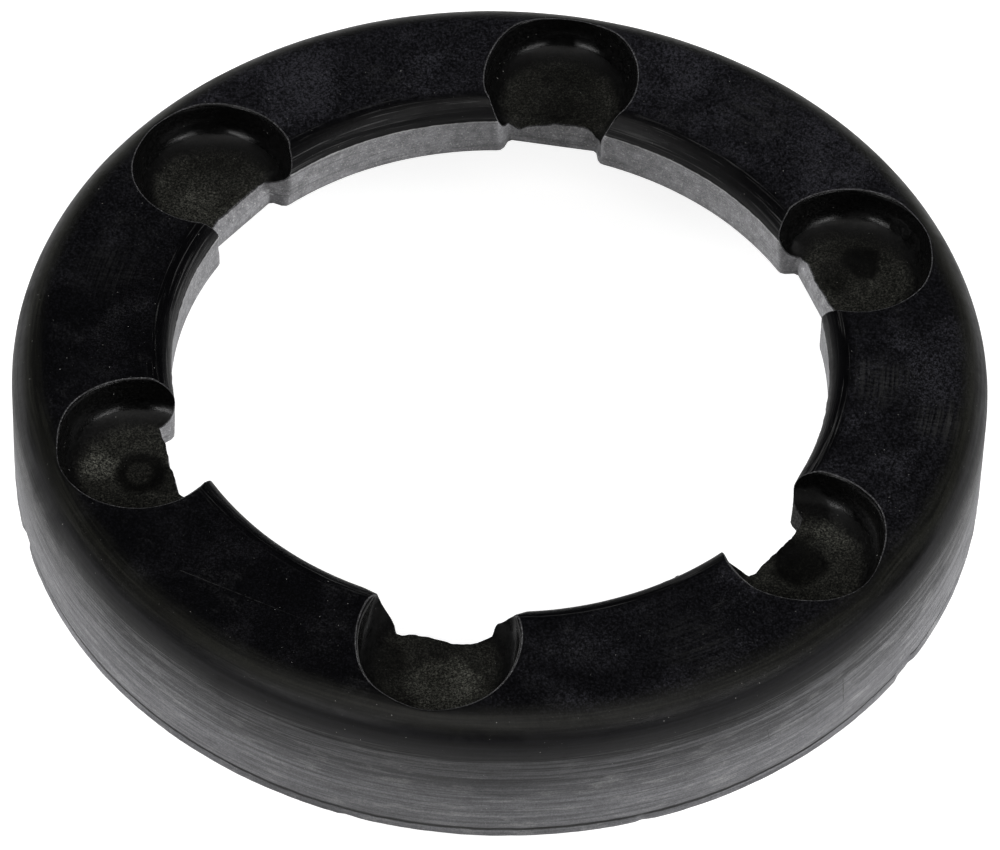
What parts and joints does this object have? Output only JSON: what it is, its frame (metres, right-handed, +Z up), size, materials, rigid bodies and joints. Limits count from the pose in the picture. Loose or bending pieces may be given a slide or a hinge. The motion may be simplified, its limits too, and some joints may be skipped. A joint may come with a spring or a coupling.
{
  "type": "coil spring insulator",
  "caption": "Moulded black rubber ring for the end of a coil spring, with a round shoulder, a skirt below and round pockets in its top face that open into the bore.",
  "frame": {"origin": "on the ring's axis, level with the foot of the skirt that it stands on", "axes": "+Z up along the ring's axis, from the foot of the skirt to the top face; +Y through the middle of one pocket"},
  "size_m": [0.13, 0.13, 0.0215],
  "materials": {
    "black_rubber": "satin moulded"
  },
  "bodies": {
    "root": {"insulator_ring": "black_rubber"}
  },
  "joints": []
}
